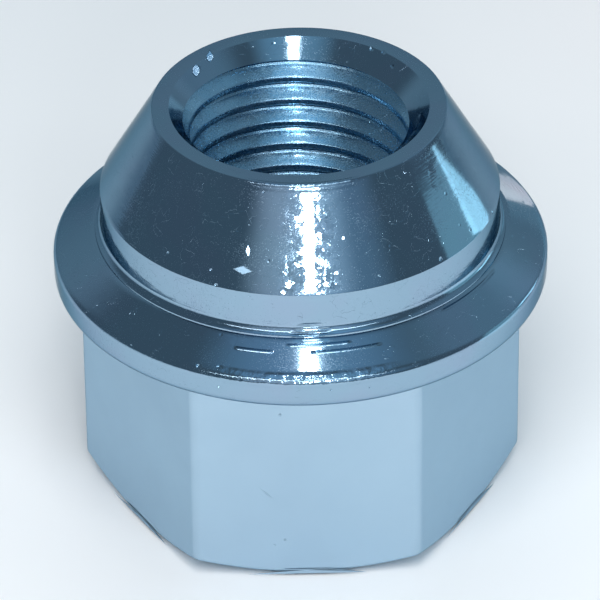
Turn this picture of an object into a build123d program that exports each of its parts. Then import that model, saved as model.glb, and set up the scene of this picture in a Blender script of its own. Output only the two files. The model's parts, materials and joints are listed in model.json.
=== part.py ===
"""Cone-seat wheel nut with a fixed collar, for an M14 x 1.5 stud and a 22 mm wrench.

It is one forging, turned and zinc plated, and it stands on its hex end: the end face lies on
z = 0, the thread runs along +Z and the cone that seats in the wheel is at the top. Two of the
wrench flats face -Y and +Y. The bore is plain, at the minor diameter of the fine thread.
"""

import os
from math import cos, radians, tan

from build123d import *

# Thread, and the countersink that leads the stud in at each end
thread_major = 14.0
thread_pitch = 1.5
mouth_oversize = 0.65
mouth_angle = 90.0

# Wrench hex and the turned chamfer at its end
hex_across_flats = 22.0
hex_height = 13.9
hex_corner_round = 0.7
hex_end_inset = 0.6
hex_chamfer_angle = 30.0

# Collar between the hex and the neck
collar_overhang = 1.4
collar_edge_height = 1.8
collar_slope = 30.0
collar_top_round = 0.5
collar_under_round = 0.55
hex_root_round = 0.35

# Rim, cone seat and neck
rim_land = 0.96
seat_angle = 60.0
seat_height = 5.3
neck_length = 2.3
neck_root_round = 0.9

# Radii, from the thread outwards
thread_depth = 5 / 8 * thread_pitch * cos(radians(30))
bore_radius = thread_major / 2 - thread_depth
mouth_radius = (thread_major + mouth_oversize) / 2
rim_radius = mouth_radius + rim_land
neck_radius = rim_radius + seat_height * tan(radians(seat_angle / 2))
hex_corner_radius = hex_across_flats / 2 / cos(radians(30))
hex_end_radius = hex_across_flats / 2 - hex_end_inset
collar_radius = hex_corner_radius + collar_overhang

# Heights above the end face
hex_chamfer_top = (hex_corner_radius - hex_end_radius) * tan(radians(hex_chamfer_angle))
collar_edge_top = hex_height + collar_edge_height
neck_root = collar_edge_top + (collar_radius - neck_radius) * tan(radians(collar_slope))
seat_base = neck_root + neck_length
overall_height = seat_base + seat_height

with BuildPart() as lug_nut:
    # Wrench hex
    with BuildSketch(Plane.XY):
        RegularPolygon(hex_across_flats / 2, side_count=6, major_radius=False)
        fillet(vertices(), hex_corner_round)
    extrude(amount=hex_height)

    # The turned chamfer cuts an arc into each flat and takes the corners off
    with BuildSketch(Plane.XZ):
        with BuildLine():
            Polyline(
                (hex_end_radius, 0),
                (hex_corner_radius, 0),
                (hex_corner_radius, hex_chamfer_top),
                close=True,
            )
        make_face()
    revolve(axis=Axis.Z, mode=Mode.SUBTRACT)

    # Collar, neck and cone seat
    with BuildSketch(Plane.XZ):
        with BuildLine():
            Polyline(
                (0, hex_height),
                (collar_radius, hex_height),
                (collar_radius, collar_edge_top),
                (neck_radius, neck_root),
                (neck_radius, seat_base),
                (rim_radius, overall_height),
                (0, overall_height),
                close=True,
            )
        make_face()
        fillet(vertices().sort_by_distance((collar_radius, hex_height))[0], collar_under_round)
        fillet(vertices().sort_by_distance((collar_radius, collar_edge_top))[0], collar_top_round)
        fillet(vertices().sort_by_distance((neck_radius, neck_root))[0], neck_root_round)
    revolve(axis=Axis.Z)

    # The forging runs from the hex into the collar without a sharp corner
    underside = lug_nut.faces().filter_by(Plane.XY).sort_by(Axis.Z)[1]
    fillet(underside.inner_wires().edges(), hex_root_round)

    # Bore with a countersunk mouth at each end
    with Locations(Plane.XY.offset(overall_height)):
        CounterSinkHole(bore_radius, mouth_radius, counter_sink_angle=mouth_angle)
    with Locations(-Plane.XY):
        CounterSinkHole(bore_radius, mouth_radius, counter_sink_angle=mouth_angle)

lug_nut.part.label = "lug_nut"
os.makedirs("parts", exist_ok=True)
export_step(lug_nut.part, "parts/lug_nut.step")
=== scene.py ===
"""Looks of a cone-seat wheel nut: one forging, turned, threaded M14 x 1.5 and zinc plated.

The nut stands on its hex end at the origin, with its thread along +Z and two wrench flats
facing -Y and +Y. Sizes are in millimetres until they reach the mesh, and angles in degrees.
An azimuth of 0 is towards the camera's side, which is -Y, and 90 is to the right, +X.
"""

import json
import math

import bpy
from mathutils import Matrix, Quaternion, Vector


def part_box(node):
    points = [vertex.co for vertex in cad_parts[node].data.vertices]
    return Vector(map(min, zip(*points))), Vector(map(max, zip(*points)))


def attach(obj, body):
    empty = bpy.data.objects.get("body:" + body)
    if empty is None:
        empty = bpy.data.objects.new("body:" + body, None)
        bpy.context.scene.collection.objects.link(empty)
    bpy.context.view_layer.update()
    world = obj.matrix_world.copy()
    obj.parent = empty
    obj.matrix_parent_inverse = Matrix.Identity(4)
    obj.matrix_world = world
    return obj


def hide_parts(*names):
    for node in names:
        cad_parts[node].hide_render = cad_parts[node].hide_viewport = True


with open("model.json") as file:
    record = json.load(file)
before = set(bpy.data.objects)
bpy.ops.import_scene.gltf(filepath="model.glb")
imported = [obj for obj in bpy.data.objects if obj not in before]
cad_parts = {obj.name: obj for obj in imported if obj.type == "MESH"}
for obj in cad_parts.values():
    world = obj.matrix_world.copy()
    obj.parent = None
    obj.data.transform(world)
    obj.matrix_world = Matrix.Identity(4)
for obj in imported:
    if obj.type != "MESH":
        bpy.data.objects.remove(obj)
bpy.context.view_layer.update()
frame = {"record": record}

MM = 0.001
node_low, node_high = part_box("lug_nut")
thread_mount = next(m for m in frame["record"]["mounts"] if m["name"] == "thread")

# Sizes that the frame gives. The countersinks are as deep as they are wide
overall_height = (node_high.z - node_low.z) / MM
crest_radius = thread_mount["dims"]["r_mm"]
countersink_depth = (overall_height - thread_mount["dims"]["length_mm"]) / 2
countersink_angle = 90.0
mouth_radius = crest_radius + countersink_depth

# Thread, with its root rounded off a little inside the major diameter
thread_pitch = 1.5
thread_angle = 60.0
root_radius = 6.92
root_shoulder = (0.04, 0.03)
root_crown = 0.09
root_flat = thread_pitch / 8
crest_flat = thread_pitch / 4
crest_round = 0.13
thread_clear = 0.35
thread_turn_at_back = 0.87
thread_steps = 144
turns_below = 1.5
spare_turns = 3

# Hex
across_flats = 22.0
hex_height = 13.9
corner_round = 0.7
end_inset = 0.6
end_chamfer_angle = 30.0
end_edge_round = 0.2
root_round = 0.35
hex_corner_radius = across_flats / 2 / math.cos(math.radians(30))
hex_end_radius = across_flats / 2 - end_inset

# Collar
collar_overhang = 1.4
collar_edge_height = 1.8
collar_slope = 30.0
collar_top_round = 0.5
collar_under_round = 0.55
collar_radius = hex_corner_radius + collar_overhang
collar_edge_top = hex_height + collar_edge_height

# Rim, cone seat and neck
rim_land = 0.96
rim_edge_round = 0.1
seat_angle = 60.0
seat_height = 5.3
seat_edge_round = 0.06
neck_round = 0.6
rim_radius = mouth_radius + rim_land
neck_radius = rim_radius + seat_height * math.tan(math.radians(seat_angle / 2))
seat_base = overall_height - seat_height
neck_root = collar_edge_top + (collar_radius - neck_radius) * math.tan(math.radians(collar_slope))

# Step that the turning tool left on the collar
step_radius = 11.69
step_drop = 0.07
step_width = 0.014
step_runout = 1.6

# Mesh: steps round a turned piece, and how close two points are the same one
columns = 320
same_point = 1e-3


def clear_selection():
    """Nothing is selected or active, so that the next operator acts on its own piece alone."""
    if bpy.context.object and bpy.context.object.mode != "OBJECT":
        bpy.ops.object.mode_set(mode="OBJECT")
    bpy.ops.object.select_all(action="DESELECT")


def make_active(piece):
    clear_selection()
    piece.select_set(True)
    bpy.context.view_layer.objects.active = piece


def select_parts(piece, faces=None, edges=None, verts=None):
    """Selects in edit mode by a test on the face centre and normal, the edge's ends or the vertex."""
    make_active(piece)
    mesh = piece.data
    for group in (mesh.polygons, mesh.edges, mesh.vertices):
        for element in group:
            element.select = False
    if faces:
        mode = "FACE"
        for face in mesh.polygons:
            face.select = faces(face.center / MM, face.normal)
    elif edges:
        mode = "EDGE"
        for edge in mesh.edges:
            a, b = (mesh.vertices[i].co / MM for i in edge.vertices)
            edge.select = edges(a, b)
    else:
        mode = "VERT"
        for vertex in mesh.vertices:
            vertex.select = verts(vertex.co / MM)
    bpy.ops.object.mode_set(mode="EDIT")
    bpy.ops.mesh.select_mode(type=mode)


def radius_of(point):
    return math.hypot(point.x, point.y)


def draw_profile(name, points):
    """A chain of (radius, height) points, drawn by extruding one vertex."""
    clear_selection()
    first_radius, first_height = points[0]
    bpy.ops.mesh.primitive_plane_add(size=MM, location=(first_radius * MM, 0, first_height * MM))
    piece = bpy.context.object
    piece.name = name
    bpy.ops.object.mode_set(mode="EDIT")
    bpy.ops.mesh.select_mode(type="VERT")
    bpy.ops.mesh.select_all(action="SELECT")
    bpy.ops.mesh.merge(type="CENTER")
    for (r0, z0), (r1, z1) in zip(points, points[1:]):
        step = ((r1 - r0) * MM, 0, (z1 - z0) * MM)
        bpy.ops.mesh.extrude_region_move(TRANSFORM_OT_translate={"value": step})
    bpy.ops.object.mode_set(mode="OBJECT")
    bpy.ops.object.transform_apply(location=True)
    return piece


def round_profile(piece, corner, radius, turn, segments):
    """Rounds the profile's corner to that radius, where the line turns by that angle."""
    at = Vector((corner[0], 0, corner[1]))
    select_parts(piece, verts=lambda p: (p - at).length < same_point)
    offset = radius * math.tan(math.radians(turn) / 2) * MM
    bpy.ops.mesh.bevel(offset=offset, segments=segments, affect="VERTICES")
    bpy.ops.object.mode_set(mode="OBJECT")


def divide_profile(piece, start, end, cuts):
    """Cuts one straight stretch of the profile into equal steps."""
    ends = [Vector((r, 0, z)) for r, z in (start, end)]
    middle = (ends[0] + ends[1]) / 2
    half = (ends[1] - ends[0]).length / 2
    along = (ends[1] - ends[0]).normalized()

    def on_stretch(a, b):
        inside = all((p - middle).length < half for p in (a, b))
        level = all(((p - middle) - along * (p - middle).dot(along)).length < same_point for p in (a, b))
        return inside and level

    select_parts(piece, edges=on_stretch)
    bpy.ops.mesh.subdivide(number_cuts=cuts)
    bpy.ops.object.mode_set(mode="OBJECT")


def spin_profile(piece):
    """Spins the profile round the thread's axis, and merges its ends where they meet."""
    make_active(piece)
    bpy.ops.object.mode_set(mode="EDIT")
    bpy.ops.mesh.select_all(action="SELECT")
    bpy.ops.mesh.spin(steps=columns, angle=math.tau, center=(0, 0, 0), axis=(0, 0, 1))
    bpy.ops.mesh.select_all(action="SELECT")
    bpy.ops.mesh.remove_doubles(threshold=same_point * MM)
    bpy.ops.mesh.normals_make_consistent(inside=False)
    bpy.ops.object.mode_set(mode="OBJECT")


def collar_height_at(radius):
    return neck_root - (radius - neck_radius) * math.tan(math.radians(collar_slope))


def step_points():
    """The tool step is a low riser, and the collar comes back to its own slope below it."""
    foot = step_radius + step_width
    end = foot + step_drop * step_runout
    return [
        (end, collar_height_at(end)),
        (foot, collar_height_at(foot) - step_drop / 2),
        (step_radius, collar_height_at(step_radius) + step_drop / 2),
    ]


def turn_head():
    """Collar, neck and cone, turned as one profile and left solid for the drill."""
    collar_foot = (collar_radius, hex_height)
    collar_edge = (collar_radius, collar_edge_top)
    neck_foot = (neck_radius, neck_root)
    neck_top = (neck_radius, seat_base)
    rim = (rim_radius, overall_height)
    steps = step_points()
    outline = [collar_foot, collar_edge, *steps, neck_foot, neck_top, rim]
    head = draw_profile("turned_head", [(0, hex_height), *outline, (0, overall_height)])
    round_profile(head, collar_foot, collar_under_round, turn=90, segments=8)
    round_profile(head, collar_edge, collar_top_round, turn=90 - collar_slope, segments=8)
    round_profile(head, neck_foot, neck_round, turn=90 - collar_slope, segments=12)
    round_profile(head, neck_top, seat_edge_round, turn=seat_angle / 2, segments=3)
    round_profile(head, rim, rim_edge_round, turn=90 - seat_angle / 2, segments=4)
    divide_profile(head, neck_top, rim, cuts=23)
    divide_profile(head, steps[0], collar_edge, cuts=9)
    spin_profile(head)
    return head


def forge_hex():
    """The wrench hex, its corners rounded and its top flared where it meets the collar."""
    clear_selection()
    straight = hex_height - root_round
    bpy.ops.mesh.primitive_cylinder_add(
        vertices=6,
        radius=hex_corner_radius * MM,
        depth=straight * MM,
        location=(0, 0, straight / 2 * MM),
        rotation=(0, 0, math.radians(90)),
    )
    piece = bpy.context.object
    piece.name = "wrench_hex"
    bpy.ops.object.transform_apply(location=True, rotation=True)

    select_parts(piece, edges=lambda a, b: abs(a.z - b.z) > straight / 2)
    corner_offset = corner_round * math.tan(math.radians(30)) * MM
    bpy.ops.mesh.bevel(offset=corner_offset, segments=8, affect="EDGES")
    bpy.ops.object.mode_set(mode="OBJECT")

    # Rings of the root fillet, each a little wider, and a last one that ends inside the collar
    rings, last_angle, inside_collar = 6, 80, 0.6
    select_parts(piece, faces=lambda c, n: n.z > 0.9)
    flat = across_flats / 2
    height, width = 0.0, 0.0
    for ring in range(1, rings + 1):
        angle = math.radians(last_angle * ring / rings)
        up = root_round * math.sin(angle)
        out = root_round * (1 - math.cos(angle))
        scale = (flat + out) / (flat + width)
        bpy.ops.mesh.extrude_region_move(TRANSFORM_OT_translate={"value": (0, 0, (up - height) * MM)})
        bpy.ops.transform.resize(value=(scale, scale, 1))
        height, width = up, out
    bpy.ops.mesh.extrude_region_move(TRANSFORM_OT_translate={"value": (0, 0, inside_collar * MM)})
    bpy.ops.object.mode_set(mode="OBJECT")
    return piece


def chamfer_blank():
    """A turned disc with the hex end's chamfer on it, larger than the hex elsewhere."""
    outside = collar_radius + 1
    rise = (outside - hex_end_radius) * math.tan(math.radians(end_chamfer_angle))
    top = hex_height + 2
    points = [(0, 0), (hex_end_radius, 0), (outside, rise), (outside, top), (0, top)]
    blank = draw_profile("chamfer_blank", points)
    spin_profile(blank)
    return blank


def drill():
    """The hole with a countersink at each end, a little longer than the nut."""
    beyond = 1.0
    wide = mouth_radius + beyond
    points = [
        (0, -beyond),
        (wide, -beyond),
        (crest_radius, countersink_depth),
        (crest_radius, overall_height - countersink_depth),
        (wide, overall_height + beyond),
        (0, overall_height + beyond),
    ]
    piece = draw_profile("drill", points)
    spin_profile(piece)
    return piece


def thread_tap():
    """The thread's groove as a coil of 60 degree section, with rounded crests."""
    slope = math.tan(math.radians(thread_angle / 2))
    half_root = root_flat / 2
    half_crest = (thread_pitch - crest_flat) / 2
    # The crest's round, as shares of its size outwards and along the thread
    crest_shape = [(1.0, -slope), (0.45, -0.1), (0.12, 0.3), (0.0, 0.75)]
    upper = [
        (root_radius - root_shoulder[0], half_root - root_shoulder[1]),
        (root_radius - root_crown, half_root + root_crown * slope),
        *[(crest_radius + crest_round * out, half_crest + crest_round * along) for out, along in crest_shape],
        (crest_radius - thread_clear, thread_pitch / 2 - 0.02),
    ]
    lower = [(r, -z) for r, z in reversed(upper)]
    turns = math.ceil(overall_height / thread_pitch) + spare_turns
    start = -turns_below * thread_pitch + thread_turn_at_back * thread_pitch
    points = [(r, z + start) for r, z in [(root_radius, 0), *upper, *lower]]
    tap = draw_profile("thread_tap", points)
    make_active(tap)
    bpy.ops.object.mode_set(mode="EDIT")
    bpy.ops.mesh.select_all(action="SELECT")
    bpy.ops.mesh.edge_face_add()
    bpy.ops.mesh.delete(type="ONLY_FACE")
    bpy.ops.object.mode_set(mode="OBJECT")
    coil = tap.modifiers.new("coil", "SCREW")
    coil.axis = "Z"
    coil.angle = math.tau
    coil.screw_offset = thread_pitch * MM
    coil.iterations = turns
    coil.steps = thread_steps
    coil.render_steps = thread_steps
    coil.use_smooth_shade = False
    bpy.ops.object.modifier_apply(modifier=coil.name)
    bpy.ops.object.mode_set(mode="EDIT")
    bpy.ops.mesh.select_all(action="SELECT")
    bpy.ops.mesh.remove_doubles(threshold=same_point * MM)
    bpy.ops.mesh.select_all(action="SELECT")
    bpy.ops.mesh.fill_holes(sides=0)
    bpy.ops.mesh.select_all(action="SELECT")
    bpy.ops.mesh.normals_make_consistent(inside=False)
    bpy.ops.object.mode_set(mode="OBJECT")
    return tap


def combine(piece, tool, operation):
    """Joins, cuts or trims the piece by the tool, and takes the tool away."""
    make_active(piece)
    step = piece.modifiers.new(operation.lower(), "BOOLEAN")
    step.operation = operation
    step.solver = "EXACT"
    step.object = tool
    bpy.ops.object.modifier_apply(modifier=step.name)
    bpy.data.objects.remove(tool)


def soften_hex_end(piece):
    """A small round along the arcs where the end chamfer cuts the flats and corners."""
    slope = math.tan(math.radians(end_chamfer_angle))

    def on_arc(a, b):
        # Both ends lie on the chamfer's cone, above the end face, and the edge runs along the arc
        on_cone = all(abs(p.z - (radius_of(p) - hex_end_radius) * slope) < 0.02 for p in (a, b))
        return on_cone and all(p.z > 0.2 for p in (a, b)) and abs(a.z - b.z) < 0.6 * (a - b).length

    select_parts(piece, edges=on_arc)
    bpy.ops.mesh.bevel(offset=end_edge_round * MM, segments=3, affect="EDGES")
    bpy.ops.object.mode_set(mode="OBJECT")


def finish_surface(piece):
    """Merges stray points, then shades it smooth but for sharp edges, with its broad faces flat."""
    make_active(piece)
    bpy.ops.object.mode_set(mode="EDIT")
    bpy.ops.mesh.select_all(action="SELECT")
    bpy.ops.mesh.remove_doubles(threshold=same_point / 2 * MM)
    bpy.ops.mesh.dissolve_degenerate(threshold=same_point / 10 * MM)
    bpy.ops.object.mode_set(mode="OBJECT")
    bpy.ops.object.shade_smooth_by_angle(angle=math.radians(35))
    weighted = piece.modifiers.new("weighted", "WEIGHTED_NORMAL")
    weighted.keep_sharp = True
    weighted.weight = 80
    bpy.ops.object.modifier_apply(modifier=weighted.name)


def make_nut():
    nut = forge_hex()
    combine(nut, chamfer_blank(), "INTERSECT")
    soften_hex_end(nut)
    combine(nut, turn_head(), "UNION")
    combine(nut, drill(), "DIFFERENCE")
    combine(nut, thread_tap(), "DIFFERENCE")
    finish_surface(nut)
    nut.name = "lug_nut_plated"
    return nut


# Camera, from the outline and the circles of the nut in the picture
picture_size = 600
pixels_per_mm = 17.4206
camera_distance = 308.78
camera_elevation = 34.304
camera_roll = -0.5725
nut_turn = 1.08
aim_height = 12.7
aim_pixel = (300.8745, 284.0072)
sensor_width = 36.0


def make_camera():
    """The camera looks down at the nut. Turning it by the nut's own turn keeps the nut square."""
    turn, rise, roll = (math.radians(a) for a in (nut_turn, camera_elevation, camera_roll))
    right = Vector((math.cos(turn), -math.sin(turn), 0))
    ahead = Vector((math.sin(turn) * math.cos(rise), math.cos(turn) * math.cos(rise), -math.sin(rise)))
    up = right.cross(ahead)
    right_rolled = right * math.cos(roll) + up * math.sin(roll)
    up_rolled = up * math.cos(roll) - right * math.sin(roll)
    across = (aim_pixel[0] - picture_size / 2) / pixels_per_mm
    above = (picture_size / 2 - aim_pixel[1]) / pixels_per_mm
    aim = Vector((0, 0, aim_height))
    place = aim - right_rolled * across - up_rolled * above - ahead * camera_distance
    data = bpy.data.cameras.new("camera")
    data.sensor_width = sensor_width
    data.lens = pixels_per_mm * camera_distance / picture_size * sensor_width
    data.clip_start = 0.02
    data.clip_end = 10
    camera = bpy.data.objects.new("camera", data)
    bpy.context.scene.collection.objects.link(camera)
    turned = Matrix((right_rolled, up_rolled, -ahead)).transposed().to_4x4()
    camera.matrix_world = Matrix.Translation(place * MM) @ turned
    bpy.context.scene.camera = camera


def add_node(tree, kind, inputs=None, **settings):
    """A shader node with its settings, and its inputs set to values or linked to other nodes' outputs."""
    node = tree.nodes.new("ShaderNode" + kind)
    for name, value in settings.items():
        setattr(node, name, value)
    for name, value in (inputs or {}).items():
        if isinstance(value, bpy.types.NodeSocket):
            tree.links.new(value, node.inputs[name])
        else:
            node.inputs[name].default_value = value
    return node


def calculate(tree, operation, first, second=0.0, third=0.0):
    return add_node(tree, "Math", {0: first, 1: second, 2: third}, operation=operation).outputs[0]


def multiply(tree, first, *others):
    for other in others:
        first = calculate(tree, "MULTIPLY", first, other)
    return first


def off_middle(tree, value, middle):
    """How far a value is from a middle one, either way."""
    return calculate(tree, "ABSOLUTE", calculate(tree, "SUBTRACT", value, middle))


def combine_vectors(tree, operation, first, second=(0, 0, 0), third=(0, 0, 0)):
    """The node's outputs: Vector, or Value where the operation gives a number."""
    return add_node(tree, "VectorMath", {0: first, 1: second, 2: third}, operation=operation).outputs


def ramp(tree, value, low, high, out_low=0.0, out_high=1.0):
    """The value's range as a smooth step from one number to another."""
    inputs = {"Value": value, "From Min": low, "From Max": high, "To Min": out_low, "To Max": out_high}
    return add_node(tree, "MapRange", inputs, interpolation_type="SMOOTHSTEP").outputs[0]


def blend(tree, factor, first, second):
    return add_node(tree, "Mix", {"Factor": factor, "A": first, "B": second}).outputs[0]


def blend_colours(tree, factor, first, second, way="MIX"):
    inputs = {"Factor": factor, "A": first, "B": second}
    return add_node(tree, "Mix", inputs, data_type="RGBA", blend_type=way).outputs["Result"]


def add_noise(tree, position, scale, detail):
    """A noise pattern's outputs: its value first, and Color."""
    return add_node(tree, "TexNoise", {"Vector": position, "Scale": scale, "Detail": detail}).outputs


def split_polar(tree, position):
    """The position's radius in mm, its azimuth in degrees and its height in mm."""
    split = add_node(tree, "SeparateXYZ", {0: position}).outputs
    flat = add_node(tree, "CombineXYZ", {0: split[0], 1: split[1]}).outputs[0]
    length = combine_vectors(tree, "LENGTH", flat)["Value"]
    towards_front = multiply(tree, split[1], -1.0)
    angle = calculate(tree, "ARCTAN2", split[0], towards_front)
    radius = multiply(tree, length, 1 / MM)
    azimuth = multiply(tree, angle, math.degrees(1))
    height = multiply(tree, split[2], 1 / MM)
    return radius, azimuth, height


def start_group(name, inputs, outputs):
    """A shader node group with named sockets: (name, kind, value) going in and (name, kind) coming out."""
    group = bpy.data.node_groups.new(name, "ShaderNodeTree")
    for label, kind, value in inputs:
        socket = group.interface.new_socket(label, in_out="INPUT", socket_type="NodeSocket" + kind)
        socket.default_value = value
    for label, kind in outputs:
        group.interface.new_socket(label, in_out="OUTPUT", socket_type="NodeSocket" + kind)
    return group, group.nodes.new("NodeGroupInput").outputs, group.nodes.new("NodeGroupOutput").inputs


def tool_rings_group():
    """Rings left by the tool round the thread's axis, broken into lengths, in patches."""
    inputs = [
        ("Position", "Vector", (0, 0, 0)),
        ("Rings per mm", "Float", 4.0),
        ("Breaks per mm", "Float", 0.8),
        ("Depth in mm", "Float", 0.003),
        ("Unevenness", "Float", 0.8),
    ]
    group, given, made = start_group("tool_rings", inputs, [("Height", "Float")])
    radius, _, height = split_polar(group, given["Position"])
    # Millimetres up the cone seat, which leans 30 degrees from the thread's axis
    along_seat = calculate(group, "MULTIPLY_ADD", height, 0.866, multiply(group, radius, -0.5))
    across = multiply(group, along_seat, given["Rings per mm"])
    around = multiply(group, given["Breaks per mm"], 1 / MM)
    stretched = add_node(group, "VectorMath", {0: given["Position"], "Scale": around}, operation="SCALE")
    split = add_node(group, "SeparateXYZ", {0: stretched.outputs[0]}).outputs
    line = add_node(group, "CombineXYZ", {0: split[0], 1: split[1], 2: across}).outputs[0]
    rings = add_noise(group, line, 1.0, 1.0)
    patches = add_noise(group, given["Position"], 0.5 / MM, 2.0)
    strength = ramp(group, patches[0], 0.4, 0.62)
    faded = blend(group, given["Unevenness"], 1.0, strength)
    depth = multiply(group, given["Depth in mm"], MM)
    deep = multiply(group, faded, depth)
    group.links.new(multiply(group, rings[0], deep), made["Height"])
    return group


def bruises_group():
    """Small flats all over a plated face, each tilted a little its own way, in patches."""
    inputs = [
        ("Position", "Vector", (0, 0, 0)),
        ("Flats per mm", "Float", 2.0),
        ("Tilt", "Float", 0.05),
        ("Share", "Float", 0.5),
    ]
    group, given, made = start_group("bruises", inputs, [("Height", "Float")])
    wander = add_noise(group, given["Position"], 3 / MM, 1.0)["Color"]
    wander_reach = (0.25 * MM,) * 3
    moved = combine_vectors(group, "MULTIPLY_ADD", wander, wander_reach, given["Position"])["Vector"]
    scale = multiply(group, given["Flats per mm"], 1 / MM)
    cells = add_node(group, "TexVoronoi", {"Vector": moved, "Scale": scale}).outputs
    from_middle = combine_vectors(group, "SUBTRACT", moved, cells["Position"])["Vector"]
    way = combine_vectors(group, "SUBTRACT", cells["Color"], (0.5, 0.5, 0.5))["Vector"]
    rise = combine_vectors(group, "DOT_PRODUCT", from_middle, way)["Value"]
    where = add_noise(group, given["Position"], 0.8 / MM, 2.0)
    chosen = calculate(group, "LESS_THAN", where[0], given["Share"])
    group.links.new(multiply(group, rise, given["Tilt"], chosen), made["Height"])
    return group


def pits_group():
    """Small pits in the plating: some of the cells of a cell pattern, each with one round bowl."""
    inputs = [
        ("Position", "Vector", (0, 0, 0)),
        ("Cells per mm", "Float", 2.0),
        ("Share", "Float", 0.2),
        ("Width", "Float", 0.2),
        ("Depth in mm", "Float", 0.01),
    ]
    group, given, made = start_group("plating_pits", inputs, [("Height", "Float")])
    scale = multiply(group, given["Cells per mm"], 1 / MM)
    cells = add_node(group, "TexVoronoi", {"Vector": given["Position"], "Scale": scale}).outputs
    chance = add_node(group, "SeparateColor", {0: cells["Color"]}).outputs[0]
    chosen = calculate(group, "LESS_THAN", chance, given["Share"])
    bowl = ramp(group, cells["Distance"], given["Width"], 0.0)
    mask = multiply(group, bowl, chosen)
    depth = multiply(group, given["Depth in mm"], -MM)
    group.links.new(multiply(group, mask, depth), made["Height"])
    return group


def plating_tint_group():
    """The plating's colour, with soft patches of a second colour."""
    inputs = [
        ("Position", "Vector", (0, 0, 0)),
        ("Base", "Color", (0.5, 0.5, 0.5, 1)),
        ("Patch", "Color", (0.5, 0.5, 0.5, 1)),
        ("Patches per mm", "Float", 0.2),
        ("Strength", "Float", 0.5),
    ]
    group, given, made = start_group("plating_tint", inputs, [("Color", "Color")])
    scale = multiply(group, given["Patches per mm"], 1 / MM)
    noise = add_noise(group, given["Position"], scale, 3.0)
    patch = ramp(group, noise[0], 0.4, 0.65)
    factor = multiply(group, patch, given["Strength"])
    group.links.new(blend_colours(group, factor, given["Base"], given["Patch"]), made["Color"])
    return group


def bright_grain_group():
    """Roughness of bright plating: a mirror with finer matt grains in it."""
    inputs = [
        ("Position", "Vector", (0, 0, 0)),
        ("Bright", "Float", 0.08),
        ("Matt", "Float", 0.35),
        ("Matt share", "Float", 0.4),
    ]
    group, given, made = start_group("bright_grain", inputs, [("Roughness", "Float")])
    grain = add_noise(group, given["Position"], 14 / MM, 2.0)
    patches = add_noise(group, given["Position"], 0.4 / MM, 3.0)
    shift = calculate(group, "MULTIPLY_ADD", patches[0], 0.5, -0.25)
    amount = calculate(group, "ADD", calculate(group, "ADD", grain[0], shift), given["Matt share"])
    matt = ramp(group, amount, 0.85, 1.1)
    group.links.new(blend(group, matt, given["Bright"], given["Matt"]), made["Roughness"])
    return group


def nick_group():
    """One dent, as wide as its reach each way from its place."""
    inputs = [
        ("Position", "Vector", (0, 0, 0)),
        ("Place", "Vector", (0, 0, 0)),
        ("Reach", "Vector", (MM, MM, MM)),
        ("Depth in mm", "Float", 0.05),
    ]
    group, given, made = start_group("nick", inputs, [("Height", "Float")])
    away = combine_vectors(group, "SUBTRACT", given["Position"], given["Place"])["Vector"]
    part = combine_vectors(group, "DIVIDE", away, given["Reach"])["Vector"]
    distance = combine_vectors(group, "LENGTH", part)["Value"]
    depth = multiply(group, given["Depth in mm"], -MM)
    group.links.new(multiply(group, ramp(group, distance, 1.0, 0.0), depth), made["Height"])
    return group


def facet_group():
    """One small four-cornered flat that leans from the face round it, with a mask of where it is."""
    inputs = [
        ("Position", "Vector", (0, 0, 0)),
        ("Place", "Vector", (0, 0, 0)),
        ("Reach", "Vector", (MM, MM, MM)),
        ("Slope", "Vector", (0.1, 0, 0)),
    ]
    group, given, made = start_group("facet", inputs, [("Height", "Float"), ("Mask", "Float")])
    away = combine_vectors(group, "SUBTRACT", given["Position"], given["Place"])["Vector"]
    part = combine_vectors(group, "DIVIDE", away, given["Reach"])["Vector"]
    size = combine_vectors(group, "ABSOLUTE", part)["Vector"]
    total = combine_vectors(group, "DOT_PRODUCT", size, (1, 1, 1))["Value"]
    mask = ramp(group, total, 1.0, 0.86)
    rise = combine_vectors(group, "DOT_PRODUCT", away, given["Slope"])["Value"]
    group.links.new(multiply(group, rise, mask), made["Height"])
    group.links.new(mask, made["Mask"])
    return group


def arc_ridge_group():
    """A fine raised line round the thread's axis, as far as the half angle each way from its middle."""
    inputs = [
        ("Position", "Vector", (0, 0, 0)),
        ("Radius in mm", "Float", 12.0),
        ("Width in mm", "Float", 0.12),
        ("Rise in mm", "Float", 0.04),
        ("Middle azimuth", "Float", 0.0),
        ("Half angle", "Float", 10.0),
    ]
    group, given, made = start_group("arc_ridge", inputs, [("Height", "Float")])
    radius, azimuth, _ = split_polar(group, given["Position"])
    off_radius = off_middle(group, radius, given["Radius in mm"])
    off_angle = off_middle(group, azimuth, given["Middle azimuth"])
    line = ramp(group, calculate(group, "DIVIDE", off_radius, given["Width in mm"]), 1.0, 0.0)
    ends = ramp(group, calculate(group, "DIVIDE", off_angle, given["Half angle"]), 1.0, 0.8)
    rise = multiply(group, given["Rise in mm"], MM)
    group.links.new(multiply(group, line, ends, rise), made["Height"])
    return group


# Colours of the plating on the flats, the turned faces and the thread, and at a grazing look
zinc_blue = (0.45, 0.61, 0.74, 1)
zinc_pale = (0.47, 0.64, 0.77, 1)
zinc_turned = (0.31, 0.455, 0.58, 1)
zinc_violet = (0.335, 0.43, 0.575, 1)
zinc_thread = (0.36, 0.62, 0.82, 1)
zinc_edge_tint = (0.30, 0.38, 0.42, 1)

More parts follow.
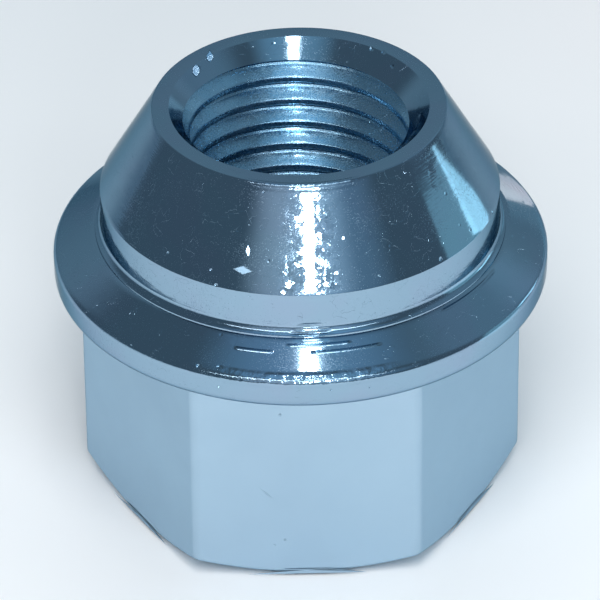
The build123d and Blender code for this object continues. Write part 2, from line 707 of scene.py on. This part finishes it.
# Nicks of the turned faces: radius, azimuth and height, then the reach along x, y and z, and the depth
turned_nicks = [
    ((11.30, -25.5, 19.66), (0.12, 0.2, 0.10), 0.06),
    ((10.93, -28.0, 20.30), (0.10, 0.1, 0.10), 0.05),
    ((10.91, -43.4, 20.34), (0.10, 0.1, 0.10), 0.05),
    ((8.53, -14.5, 24.45), (0.08, 0.1, 0.08), 0.03),
    ((11.06, 21.8, 20.09), (0.09, 0.1, 0.09), 0.04),
    ((11.24, 42.7, 19.78), (0.14, 0.2, 0.14), 0.05),
    ((7.33, 137.4, 24.89), (0.20, 0.2, 0.20), 0.06),
    ((7.26, 143.7, 24.83), (0.16, 0.2, 0.20), 0.06),
    ((6.98, 129.4, 24.54), (0.14, 0.2, 0.20), 0.05),
    ((14.09, -43.6, 15.70), (0.16, 0.2, 0.10), 0.05),
    ((13.83, -25.3, 15.86), (0.20, 0.2, 0.10), 0.04),
    ((13.64, -20.4, 15.96), (0.24, 0.2, 0.10), 0.04),
    ((14.10, 5.4, 15.14), (0.08, 0.1, 0.08), 0.04),
    ((14.10, 14.3, 15.02), (0.08, 0.1, 0.08), 0.04),
]

# Small flats that mirror the flash or the lamp above it: radius, azimuth and height, the reach
# along x, y and z, the azimuth and elevation that they face, and if they are matt
faces_flash = (2.3, 30.6)
faces_middle = (3.2, 47.3)
facets = [
    ((10.76, -18.3, 20.62), (0.58, 20, 0.22), (-4.0, 31.0), True),
    ((10.20, -17.5, 21.57), (0.12, 20, 0.30), faces_flash, False),
    ((10.68, -5.4, 20.73), (0.22, 20, 0.18), faces_flash, False),
    ((11.24, -5.9, 19.77), (0.20, 20, 0.14), faces_flash, False),
    ((11.15, 5.7, 19.92), (0.24, 20, 0.14), faces_flash, False),
    ((11.00, 7.3, 20.19), (0.16, 20, 0.14), faces_flash, False),
    ((9.83, 12.8, 22.20), (0.09, 20, 0.10), faces_flash, False),
    ((7.10, -126.0, 24.67), (0.36, 0.9, 0.40), faces_middle, False),
    ((7.27, -137.1, 24.83), (0.30, 0.9, 0.30), faces_middle, False),
]
matt_facet = 0.34

# Nicks of the front wrench flat: x and height, the reach along x and z, and the depth
flat_nicks = [
    ((-1.45, 11.35), (0.13, 0.13), 0.05),
    ((-1.83, 2.29), (0.10, 0.10), 0.04),
    ((-1.25, 2.63), (0.10, 0.10), 0.04),
]

# Scratch on the front wrench flat: its middle, its reach before it is turned, the turn and the depth
flat_scratch_middle = (-2.27, 5.93)
flat_scratch_reach = (0.68, 0.3, 0.07)
flat_scratch_turn = 44.0
flat_scratch_depth = 0.03

# Grain that the die left on the wrench flats
die_grain_per_mm = 10
die_grain_depth = 0.0012

# Fine lines on the collar, and the burr under the rim: radius, middle azimuth, half angle and rise
collar_lines = [
    (12.14, 3.5, 9.0, 0.034),
    (12.52, -13.3, 5.2, 0.036),
    (12.52, 10.5, 9.5, 0.034),
    (11.98, 52.0, 13.0, 0.034),
    (8.41, -1.0, 23.0, 0.018),
]

# Where the front mirrors the flash, and the lumps of its beaten edges
flash_azimuth = 1.6
edge_lumps_per_mm = 1.6
edge_lump_depth = 0.06


def place_at(radius, azimuth, height):
    """A place on the nut, in metres."""
    a = math.radians(azimuth)
    return Vector((math.sin(a) * radius, -math.cos(a) * radius, height)) * MM


def direction(azimuth, elevation):
    """The way towards an azimuth and an elevation, as a vector of length 1."""
    a, e = math.radians(azimuth), math.radians(elevation)
    return Vector((math.sin(a) * math.cos(e), -math.cos(a) * math.cos(e), math.sin(e)))


def start_material(name, effects):
    """A plated metal, and a function that places a shared effect in it with its own values."""
    material = bpy.data.materials.new(name)
    material.use_nodes = True
    tree = material.node_tree
    shader = tree.nodes["Principled BSDF"].inputs
    shader["Metallic"].default_value = 1
    shader["Specular Tint"].default_value = zinc_edge_tint
    position = add_node(tree, "TexCoord").outputs["Object"]

    def place(effect, inputs):
        return add_node(tree, "Group", {"Position": position, **inputs}, node_tree=effects[effect]).outputs

    return material, tree, shader, position, place


def add_relief(tree, shader, heights):
    """The sum of the heights, in metres, as one bump."""
    total = heights[0]
    for height in heights[1:]:
        total = calculate(tree, "ADD", total, height)
    bump = add_node(tree, "Bump", {"Height": total, "Strength": 1.0, "Distance": 1.0})
    tree.links.new(bump.outputs[0], shader["Normal"])


def edge_bruises(tree, position):
    """The collar's and the rim's front edges, beaten so that their highlights break into dashes."""
    radius, azimuth, height = split_polar(tree, position)
    off_front = calculate(tree, "ABSOLUTE", azimuth)
    collar = ramp(tree, radius, 13.5, 13.75)
    upper = ramp(tree, height, 15.2, 15.6)
    collar_front = ramp(tree, off_front, 25.0, 15.0)
    off_rim = off_middle(tree, radius, rim_radius - 0.05)
    rim_edge = ramp(tree, off_rim, 0.16, 0.08)
    rim_front = ramp(tree, off_front, 26.0, 16.0)
    lumps = add_noise(tree, position, edge_lumps_per_mm / MM, 3.0)[0]
    collar_part = multiply(tree, collar, upper, collar_front)
    rim_part = multiply(tree, rim_edge, rim_front)
    where = calculate(tree, "ADD", collar_part, rim_part)
    return multiply(tree, lumps, where, edge_lump_depth * MM)


def beaten_front(tree, position, flats):
    """Small flats at the front of the cone, which break up its highlight, most of all at the foot."""
    _, azimuth, height = split_polar(tree, position)
    off_flash = off_middle(tree, azimuth, flash_azimuth)
    sides = ramp(tree, off_flash, 10.0, 5.5)
    core = ramp(tree, off_flash, 1.0, 3.4, 0.22, 1.0)
    front = multiply(tree, sides, core)
    cone = ramp(tree, height, seat_base, seat_base + 0.3)
    foot = ramp(tree, height, seat_base + 2.6, seat_base + 0.8, 0.5, 1.0)
    where = multiply(tree, front, cone, foot)
    return multiply(tree, flats, where)


def ringed_root(tree, position, rings):
    """Close rings at the front of the neck's root, which draw its highlight out up and down."""
    radius, azimuth, height = split_polar(tree, position)
    off_flash = off_middle(tree, azimuth, flash_azimuth)
    front = ramp(tree, off_flash, 7.0, 1.5)
    below = ramp(tree, height, neck_root + 0.55, neck_root + 0.3)
    inside = ramp(tree, radius, 12.0, 11.8)
    where = multiply(tree, front, below, inside)
    return multiply(tree, rings, where)


def facet_slope(radius, azimuth, faces):
    """The slope that turns the countersink or the cone, at a place, to the way that its flat faces."""
    if radius < mouth_radius:
        face_way = direction(azimuth + 180, countersink_angle / 2)
    else:
        face_way = direction(azimuth, seat_angle / 2)
    way = direction(*faces)
    return -way / way.dot(face_way)


def turned_zinc(effects):
    """Cone, neck, collar and rim: bright, with tool rings, small flats, pits and nicks."""
    material, tree, shader, position, place = start_material("turned_zinc", effects)
    tint = {"Base": zinc_turned, "Patch": zinc_violet, "Strength": 0.5, "Patches per mm": 0.25}
    tree.links.new(place("tint", tint)["Color"], shader["Base Color"])

    rings = {"Rings per mm": 6.0, "Breaks per mm": 0.9, "Depth in mm": 0.004, "Unevenness": 0.8}
    flats = {"Flats per mm": 1.4, "Tilt": 0.02, "Share": 0.42}
    dots = {"Cells per mm": 1.5, "Share": 0.08, "Width": 0.2, "Depth in mm": 0.012}
    heights = [
        place("rings", rings)["Height"],
        place("bruises", flats)["Height"],
        place("pits", dots)["Height"],
    ]
    beaten_flats = {"Flats per mm": 3.0, "Tilt": 0.2, "Share": 1.0}
    heights.append(beaten_front(tree, position, place("bruises", beaten_flats)["Height"]))
    close_rings = {"Rings per mm": 9.0, "Breaks per mm": 0.25, "Depth in mm": 0.10, "Unevenness": 0.0}
    heights.append(ringed_root(tree, position, place("rings", close_rings)["Height"]))

    for spot, reach, depth in turned_nicks:
        nick = {"Place": place_at(*spot), "Reach": Vector(reach) * MM, "Depth in mm": depth}
        heights.append(place("nick", nick)["Height"])
    matt_masks = []
    for spot, reach, faces, matt in facets:
        slope = facet_slope(spot[0], spot[1], faces)
        facet = place("facet", {"Place": place_at(*spot), "Reach": Vector(reach) * MM, "Slope": slope})
        heights.append(facet["Height"])
        if matt:
            matt_masks.append(facet["Mask"])
    for radius, azimuth, half_angle, rise in collar_lines:
        arc = {"Radius in mm": radius, "Middle azimuth": azimuth, "Half angle": half_angle}
        heights.append(place("ridge", {**arc, "Rise in mm": rise})["Height"])
    heights.append(edge_bruises(tree, position))
    add_relief(tree, shader, heights)

    rough = place("grain", {"Bright": 0.09, "Matt": 0.34, "Matt share": 0.32})["Roughness"]
    for mask in matt_masks:
        rough = blend(tree, mask, rough, matt_facet)
    tree.links.new(rough, shader["Roughness"])
    return material


def satin_zinc(effects):
    """Wrench flats: smooth and satin, as they came from the die."""
    material, tree, shader, position, place = start_material("satin_zinc", effects)
    tint = {"Base": zinc_blue, "Patch": zinc_pale, "Strength": 0.6, "Patches per mm": 0.12}
    tree.links.new(place("tint", tint)["Color"], shader["Base Color"])

    dots = place("pits", {"Cells per mm": 0.7, "Share": 0.2, "Width": 0.1, "Depth in mm": 0.01})
    grain = add_noise(tree, position, die_grain_per_mm / MM, 2.0)
    heights = [dots["Height"], multiply(tree, grain[0], die_grain_depth * MM)]
    front = -across_flats / 2
    for (x, z), (wide, tall), depth in flat_nicks:
        spot = Vector((x, front, z)) * MM
        reach = Vector((wide, wide, tall)) * MM
        heights.append(place("nick", {"Place": spot, "Reach": reach, "Depth in mm": depth})["Height"])
    middle = Vector((flat_scratch_middle[0], front, flat_scratch_middle[1])) * MM
    turn = {"Vector": position, "Center": middle, "Angle": math.radians(-flat_scratch_turn)}
    turned = add_node(tree, "VectorRotate", turn, rotation_type="Y_AXIS").outputs[0]
    reach = Vector(flat_scratch_reach) * MM
    scratch = {"Position": turned, "Place": middle, "Reach": reach, "Depth in mm": flat_scratch_depth}
    heights.append(place("nick", scratch)["Height"])
    add_relief(tree, shader, heights)

    rough = add_noise(tree, position, 0.3 / MM, 4.0)[0]
    tree.links.new(ramp(tree, rough, 0.3, 0.7, 0.38, 0.46), shader["Roughness"])
    return material


def thread_zinc(effects):
    """Thread: cut before plating, with the tap's rings along it and a coarser grain."""
    material, tree, shader, _, place = start_material("thread_zinc", effects)
    tint = {"Base": zinc_thread, "Patch": zinc_pale, "Strength": 0.3, "Patches per mm": 0.5}
    tree.links.new(place("tint", tint)["Color"], shader["Base Color"])

    rings = {"Rings per mm": 6.0, "Breaks per mm": 1.0, "Depth in mm": 0.016, "Unevenness": 0.5}
    flats = {"Flats per mm": 1.2, "Tilt": 0.03, "Share": 0.6}
    add_relief(tree, shader, [place("rings", rings)["Height"], place("bruises", flats)["Height"]])

    grain = {"Bright": 0.16, "Matt": 0.42, "Matt share": 0.45}
    tree.links.new(place("grain", grain)["Roughness"], shader["Roughness"])
    return material


def on_countersink(centre):
    depth = min(centre.z, overall_height - centre.z)
    return abs(radius_of(centre) - (mouth_radius - depth)) < 0.02


def finish_number(centre):
    """0 for the turned faces, 1 for the wrench flats and 2 for the thread."""
    radius = radius_of(centre)
    if radius > hex_end_radius + 0.3 and centre.z < hex_height - 0.01:
        return 1
    if radius < root_radius + 0.01 and not on_countersink(centre):
        return 2
    return 0


def finish_nut(piece):
    """One finish for the turned faces, one for the wrench flats and one for the thread."""
    effects = {
        "rings": tool_rings_group(),
        "bruises": bruises_group(),
        "pits": pits_group(),
        "tint": plating_tint_group(),
        "grain": bright_grain_group(),
        "nick": nick_group(),
        "facet": facet_group(),
        "ridge": arc_ridge_group(),
    }
    piece.data.materials.clear()
    for finish in (turned_zinc, satin_zinc, thread_zinc):
        piece.data.materials.append(finish(effects))
    for face in piece.data.polygons:
        face.material_index = finish_number(face.center / MM)


floor_size = 6
floor_colour = (0.9, 0.9, 0.9, 1)


def lay_floor():
    clear_selection()
    bpy.ops.mesh.primitive_plane_add(size=floor_size, location=(0, 0, 0))
    floor = bpy.context.object
    floor.name = "floor"
    material = bpy.data.materials.new("pale_floor")
    material.use_nodes = True
    shader = material.node_tree.nodes["Principled BSDF"]
    shader.inputs["Base Color"].default_value = floor_colour
    shader.inputs["Roughness"].default_value = 0.9
    shader.inputs["Specular IOR Level"].default_value = 0
    floor.data.materials.append(material)


def add_lamp(name, place, aim, size, energy, colour=(1, 1, 1), shape="ELLIPSE", tilt=0, mirrored=True):
    """A soft lamp at a place, facing a point and tilted sideways. Sizes in millimetres."""
    data = bpy.data.lights.new(name, "AREA")
    data.shape = shape
    data.size, data.size_y = (side * MM for side in size)
    data.energy = energy
    data.color = colour
    lamp = bpy.data.objects.new(name, data)
    bpy.context.scene.collection.objects.link(lamp)
    lamp.location = Vector(place) * MM
    lamp.rotation_mode = "QUATERNION"
    sideways = Quaternion((0, 0, 1), math.radians(tilt))
    lamp.rotation_quaternion = (Vector(place) - Vector(aim)).to_track_quat("Z", "Y") @ sideways
    lamp.visible_glossy = mirrored
    lamp.visible_camera = False


# Room: navy in front and overhead, slate behind, and soft glows, each with its azimuth and
# elevation, the angles where it starts and is full, and its colour
room_navy = (0.098, 0.139, 0.172, 1)
room_slate = (0.21, 0.295, 0.35, 1)
room_glows = [
    ((-2, 27), 33, 7, (0.40, 0.44, 0.48, 1)),
    ((20, 27), 34, 8, (0.10, 0.16, 0.22, 1)),
    ((14, 83), 28, 6, (0.12, 0.22, 0.32, 1)),
    ((6, 60), 30, 6, (0.14, 0.26, 0.34, 1)),
    ((146, 0), 14, 5, (0.16, 0.25, 0.27, 1)),
    ((108, 39), 34, 9, (0.09, 0.145, 0.18, 1)),
]


def add_room():
    """A dark studio, paler behind, with the glows of the flash, of the ceiling and at the right."""
    world = bpy.data.worlds.new("room")
    bpy.context.scene.world = world
    world.use_nodes = True
    tree = world.node_tree
    way = add_node(tree, "TexCoord").outputs["Generated"]
    split = add_node(tree, "SeparateXYZ", {0: way}).outputs
    behind = ramp(tree, split[1], 0.38, 0.62)
    colour = blend_colours(tree, behind, room_navy, room_slate)
    for middle, start, full, glow in room_glows:
        near = combine_vectors(tree, "DOT_PRODUCT", way, direction(*middle))["Value"]
        start_cosine, full_cosine = (math.cos(math.radians(a)) for a in (start, full))
        amount = ramp(tree, near, start_cosine, full_cosine)
        colour = blend_colours(tree, amount, colour, glow, way="ADD")
    tree.links.new(colour, tree.nodes["Background"].inputs["Color"])


# Lamps that light the floor and aren't mirrored: place, the point they face, width and height, and energy
floor_lamps = {
    "key": ((-10, -130, 190), (0, -30, 0), (150, 150), 0.32),
    "back": ((0, 120, 230), (0, 45, 0), (200, 200), 0.12),
}
floor_lamp_colour = (1.0, 0.975, 0.955)

# Lamps that the plating mirrors: azimuth, elevation, width and height, and energy
mirrored_lamps = {
    "flash": (4.2, 27.2, (44, 34), 0.10),
    "middle": (5.2, 60.3, (36, 26), 0.032),
    "top": (13, 82.5, (19, 12), 0.017),
    "strip": (-2, 43, (420, 26), 0.11),
}
mirrored_lamp_distance = 300
mirrored_lamp_aim = Vector((0, 0, 12.4))

# Cards beside the nut: place, the point they face, width and height, tilt, energy and colour
side_cards = {
    "blue_card": ((60, -3, 15.5), (0, -3, 15.5), (27, 32), -15, 0.0011, (0.51, 0.90, 1.0)),
    "cyan_card": ((58, 16.5, 20.5), (9, 0, 20), (17, 8), -40, 0.00062, (0.62, 0.93, 1.0)),
    "pale_card": ((33.7, 60, 17.5), (12.5, 4, 16), (10, 12), 0, 0.00083, (1.0, 0.62, 0.50)),
}


def set_stage():
    lay_floor()
    add_room()
    for name, (place, aim, size, energy) in floor_lamps.items():
        add_lamp(name, place, aim, size, energy, floor_lamp_colour, mirrored=False)
    for name, (azimuth, elevation, size, energy) in mirrored_lamps.items():
        place = mirrored_lamp_aim + direction(azimuth, elevation) * mirrored_lamp_distance
        add_lamp(name, place, mirrored_lamp_aim, size, energy)
    for name, (place, aim, size, tilt, energy, colour) in side_cards.items():
        add_lamp(name, place, aim, size, energy, colour, shape="RECTANGLE", tilt=tilt)


bpy.context.scene.view_settings.view_transform = "Standard"
make_camera()
set_stage()
nut = make_nut()
finish_nut(nut)
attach(nut, "root")
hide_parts("lug_nut")
print("faces", len(nut.data.polygons), "triangles", sum(len(f.vertices) - 2 for f in nut.data.polygons))
